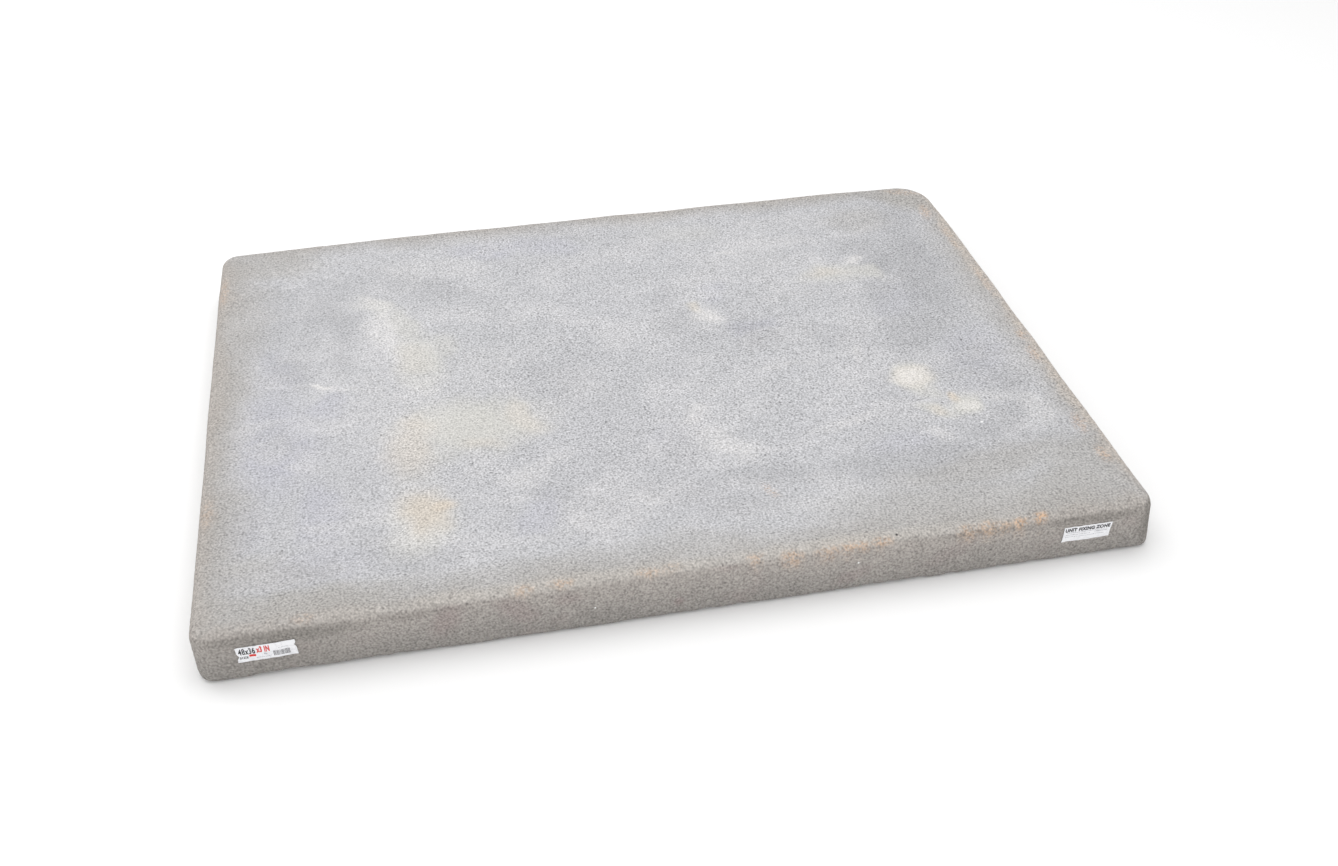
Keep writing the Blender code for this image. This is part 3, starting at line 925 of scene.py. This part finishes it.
def soft_spots(points, stains):
    """How strongly soft ellipses cover each point."""
    mask = np.zeros(len(points))
    for x, y, long, short, direction, strength in stains:
        turn = math.radians(direction)
        east, north = points[:, 0] - x, points[:, 1] - y
        along = (east * math.cos(turn) + north * math.sin(turn)) / long
        across = (north * math.cos(turn) - east * math.sin(turn)) / short
        rest = np.clip((1 - np.hypot(along, across)) / (1 - FULL_PART), 0, 1)
        mask = np.maximum(mask, strength * eased(rest))
    return mask


def store(mesh, name, values):
    mask = mesh.attributes.new(name, "FLOAT", "POINT")
    mask.data.foreach_set("value", values.astype(np.float32))


def paint_stains(mesh, points):
    """Stores each kind of stain, and the front face's darker patches, partly painted shade, on the mesh as a
    mask for the material.
    """
    moved = wandered(points)
    full, gone = TOP_STAIN_FADE
    top = np.clip((points[:, 2] - THICKNESS + gone) / (gone - full), 0, 1)
    nudged = warped(points, *EDGE_WANDER)
    for name, stains in TOP_STAINS.items():
        if name in EDGE_STAINS:
            cover = soft_spots(nudged, stains)
        else:
            # The middles wander too, so that each stain is seen where its list puts it
            middles = wandered(np.array([[x, y, THICKNESS] for x, y, *_ in stains]))
            placed = [(*middle[:2], *rest) for middle, (_, _, *rest) in zip(middles, stains)]
            cover = soft_spots(moved, placed)
        store(mesh, name, cover * top)
    full, gone = FRONT_STAIN_FADE
    front = np.clip((gone - WIDTH / 2 - points[:, 1]) / (gone - full), 0, 1)
    upright = nudged[:, [0, 2, 1]]
    for name, stains in FRONT_PATCHES.items():
        store(mesh, name, soft_spots(upright, stains) * front)


def cast_shell(material):
    """The visible casting, with its lumps, waves and chipped lower edge in the mesh itself."""
    mesh = boxed_grid()
    places, outer = cast_form(coordinates(mesh))
    move_vertices(mesh, places)
    facing = normals(mesh)
    relief = sum(bumps(places, scale, offset) * height for scale, offset, height in RELIEF)
    near_floor = np.clip(1 - places[:, 2] / RAGGED_HEIGHT, 0, 1)
    relief -= near_floor * np.maximum(bumps(places * (1, 1, 0.3), 55.0, 2.0), 0) * RAGGED_DEPTH
    cover = under_labels(places)
    relief = relief * (1 - cover) - LABEL_SEAT * cover
    relief -= TOP_SETTLING * np.clip(facing[:, 2], 0, 1)
    places = places + facing * (relief * outer)[:, None]
    lift = np.interp(places[:, 0], CHIP_ALONG, CHIP_LIFT) * np.clip(1 - places[:, 2] / CHIP_HEIGHT, 0, 1)
    lift *= places[:, 1] < -WIDTH / 2 + CHIP_DEPTH
    for x, y, depth, reach in DROOPS:
        near = np.clip(1 - np.hypot(places[:, 0] - x, places[:, 1] - y) / reach, 0, 1)
        lift -= depth * eased(near) * places[:, 2] / THICKNESS
    places[:, 2] = np.maximum(places[:, 2], 0) + lift * outer
    move_vertices(mesh, places)
    mesh.shade_smooth()
    paint_stains(mesh, places)
    return new_object("cast_shell", mesh, material)


def floated_base(material):
    """The visible underside: a slab with shallow trowel sweeps and grit, never below the ground."""
    half_x, half_y = BASE_HIGH.x, BASE_HIGH.y
    bm = bmesh.new()
    size = (2 * half_x, 0, 0), (0, 2 * half_y, 0)
    grid_side(bm, round(2 * half_x / BASE_CELL), round(2 * half_y / BASE_CELL), (0, 0, 0), *size)
    edges = [e for e in bm.edges if e.is_boundary]
    bmesh.ops.contextual_create(bm, geom=raise_rim(bm, edges, BASE_HIGH.z))
    bmesh.ops.recalc_face_normals(bm, faces=bm.faces)
    mesh = finished(bm, "cast_underside")
    places = coordinates(mesh)
    radius = np.full(len(places), POCKET_CORNER)
    places[:, 0], places[:, 1], _, inset = rounded_outline(places[:, 0], places[:, 1], half_x, half_y, radius)
    sweeps = np.abs(bumps(places * (0.35, 1, 0), 16.0, 6.0)) * SWEEP_DEPTH
    grit = (1 + bumps(places, 90.0, 8.0)) * BASE_GRIT
    places[:, 2] += (sweeps + grit) * np.clip(inset / BASE_EDGE, 0, 1) * (places[:, 2] < BASE_HIGH.z / 2)
    move_vertices(mesh, places)
    mesh.shade_smooth()
    mesh.set_sharp_from_angle(angle=SHARP_ANGLE)
    return new_object("cast_underside", mesh, material)


# Labels


def thicken(bm, faces, low, high, ink):
    """Makes flat faces into closed plates between two heights above the paper."""
    for vert in {v for face in faces for v in face.verts}:
        vert.co.z = high
    for face in faces:
        face.material_index = ink
    made = bmesh.ops.extrude_face_region(bm, geom=faces, use_keep_orig=True)["geom"]
    for vert in (g for g in made if isinstance(g, bmesh.types.BMVert)):
        vert.co.z = low


def sliced(bm):
    """Cuts flat faces along a grid, so that they can follow the creases of the paper."""
    for axis in (0, 1):
        spread = [v.co[axis] for v in bm.verts]
        normal = Vector((axis == 0, axis == 1, 0))
        for index in range(math.ceil(min(spread) / SLICE), math.floor(max(spread) / SLICE) + 1):
            geometry = bm.verts[:] + bm.edges[:] + bm.faces[:]
            place = normal * index * SLICE
            bmesh.ops.bisect_plane(bm, geom=geometry, plane_co=place, plane_no=normal, dist=1e-6)


def rectangle(bm, left, right, bottom, top):
    corners = ((left, bottom), (right, bottom), (right, top), (left, top))
    bm.faces.new([bm.verts.new((x, y, 0)) for x, y in corners])


def letters(text, weight, left, right, bottom, top):
    """Bold letters as flat faces that fill a rectangle."""
    curve = bpy.data.curves.new("letters", "FONT")
    curve.body = text
    curve.offset = weight
    curve.space_character = LETTER_SPACING
    holder = new_object("letters", curve)
    shown = holder.evaluated_get(bpy.context.evaluated_depsgraph_get())
    bm = bmesh.new()
    bm.from_mesh(shown.to_mesh())
    shown.to_mesh_clear()
    bpy.data.objects.remove(holder)
    bpy.data.curves.remove(curve)
    bmesh.ops.remove_doubles(bm, verts=bm.verts, dist=1e-5)
    low_x, low_y = (min(v.co[axis] for v in bm.verts) for axis in (0, 1))
    high_x, high_y = (max(v.co[axis] for v in bm.verts) for axis in (0, 1))
    for vert in bm.verts:
        part_x = (vert.co.x - low_x) / (high_x - low_x)
        part_y = (vert.co.y - low_y) / (high_y - low_y)
        vert.co = (left + part_x * (right - left), bottom + part_y * (top - bottom), 0)
    return bm


def printed(ink, flat):
    """Turns a flat bmesh into sliced, closed plates of ink, as a mesh."""
    sliced(flat)
    thicken(flat, flat.faces[:], -INK_DEPTH, INK_HEIGHT, ink)
    return finished(flat, "printing")


def printing(node):
    """Every printed mark of a label, as meshes in the label's own flat coordinates."""
    draw = random.Random(sum(map(ord, node)))
    marks = [printed(ink, letters(text, *spot)) for text, ink, *spot in LETTERING[node]]
    for ink, *spot in BLOCKS[node]:
        bm = bmesh.new()
        rectangle(bm, *spot)
        marks.append(printed(ink, bm))
    for ink, left, right, bottom, top, shortest, longest, gap in BARS[node]:
        bm = bmesh.new()
        while left < right:
            end = min(left + draw.uniform(shortest, longest), right)
            rectangle(bm, left, end, bottom, top)
            left = end + gap * draw.uniform(0.6, 1.4)
        marks.append(printed(ink, bm))
    return marks


def creased(node, flat):
    """Lays a label's flat coordinates (along, up, out from the paper) on the wall, creased and curled."""
    x, z, width, _, tilt = LABEL_SPOTS[node]
    along, up, out = flat.T
    seat = np.stack([along, up, np.zeros_like(up)], axis=-1)
    creases = bumps(seat * (1, 0.35, 0), 130.0, x * 10) * CREASE_HEIGHT
    grit = bumps(seat, 260.0, x * 20) * PAPER_GRIT
    curl = np.clip(np.abs(along) / (width / 2) - CURL_START, 0, 1) ** 2 * CURL
    proud = PAPER_THICKNESS + PAPER_LIFT + creases + grit + curl + out
    up = up + np.interp(along, (-width / 2, 0.1 * width, width / 2), LABEL_SAG)
    new_x = x + along * math.cos(tilt) - up * math.sin(tilt)
    new_z = z + along * math.sin(tilt) + up * math.cos(tilt)
    return np.stack([new_x, -WIDTH / 2 + LABEL_SEAT - proud, new_z], axis=-1)


def label(node, name, materials):
    """One paper label with its printing, as thin closed plates."""
    _, _, width, height, _ = LABEL_SPOTS[node]
    bm = bmesh.new()
    columns, rows = round(width / LABEL_CELL), round(height / LABEL_CELL)
    bmesh.ops.create_grid(bm, x_segments=columns, y_segments=rows, size=0.5)
    (left_up, left), (right_up, right) = (zip(*end) for end in LABEL_ENDS[node])
    for vert in bm.verts:
        part_x, part_y = vert.co.x + 0.5, vert.co.y + 0.5
        low, high = -np.interp(part_y, left_up, left), np.interp(part_y, right_up, right)
        torn = RAGGED_PAPER * noise.noise(Vector((part_x * 30, part_y * 9, 2)))
        vert.co.x = low + part_x * (high - low) + torn
        vert.co.y = (part_y - 0.5) * height + torn
    thicken(bm, bm.faces[:], -PAPER_THICKNESS, 0, PAPER)
    for mark in printing(node):
        bm.from_mesh(mark)
        bpy.data.meshes.remove(mark)
    bmesh.ops.recalc_face_normals(bm, faces=bm.faces)
    mesh = finished(bm, name)
    move_vertices(mesh, creased(node, coordinates(mesh)))
    mesh.shade_smooth()
    mesh.set_sharp_from_angle(angle=SHARP_ANGLE)
    return new_object(name, mesh, *materials)


def stands_for(piece, node):
    """A piece that rides with the pad and is seen instead of a CAD node."""
    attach(piece, "root")
    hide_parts(node)


def build():
    stands_for(cast_shell(concrete_material()), "concrete_shell")
    stands_for(floated_base(plain_concrete_material()), "concrete_base")
    papers = [paper_material(), *(ink_material(name, colour) for name, colour in INKS.items())]
    stands_for(label("product_label", "size_label", papers), "product_label")
    stands_for(label("anchor_strip_label", "fixing_label", papers), "anchor_strip_label")
    inside = (
        (foam_material(), ("foam_core",)),
        (galvanised_material(), ("anchor_strip_left", "anchor_strip_right")),
        (wire_material(), ("top_mesh", "bottom_mesh")),
    )
    for material, nodes in inside:
        for node in nodes:
            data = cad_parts[node].data
            data.materials.clear()
            data.materials.append(material)


# Stage


def floor():
    bpy.ops.mesh.primitive_plane_add(size=FLOOR_SIZE)
    plane = bpy.context.object
    plane.name = "floor"
    graph = Graph("pale_floor", roughness=0.8, specular=0.2)
    plane.data.materials.append(graph.finish(linear(FLOOR_WHITE)))


def softbox(name, place, size, power):
    light = bpy.data.lights.new(name, "AREA")
    light.shape = "RECTANGLE"
    light.size, light.size_y = size
    light.energy = power
    lamp = new_object(name, light)
    lamp.location = place
    lamp.rotation_euler = (-Vector(place)).to_track_quat("-Z", "Y").to_euler()


def camera():
    data = bpy.data.cameras.new("camera")
    data.sensor_width = SENSOR_WIDTH
    data.lens = CAMERA_LENS
    seen = new_object("camera", data)
    turn = Matrix.Rotation(-math.radians(CAMERA_HEADING), 4, "Z")
    dip = Matrix.Rotation(math.radians(90 - CAMERA_DIP), 4, "X")
    roll = Matrix.Rotation(math.radians(CAMERA_ROLL), 4, "Z")
    seen.matrix_world = Matrix.Translation(CAMERA_PLACE) @ turn @ dip @ roll
    bpy.context.scene.camera = seen


def stage():
    floor()
    for light in LIGHTS:
        softbox(*light)
    world = bpy.data.worlds.new("studio")
    bpy.context.scene.world = world
    world.use_nodes = True
    sky = world.node_tree.nodes["Background"]
    sky.inputs["Color"].default_value = (1, 1, 1, 1)
    sky.inputs["Strength"].default_value = SKY_STRENGTH
    bpy.context.scene.view_settings.view_transform = "Standard"
    camera()


build()
stage()
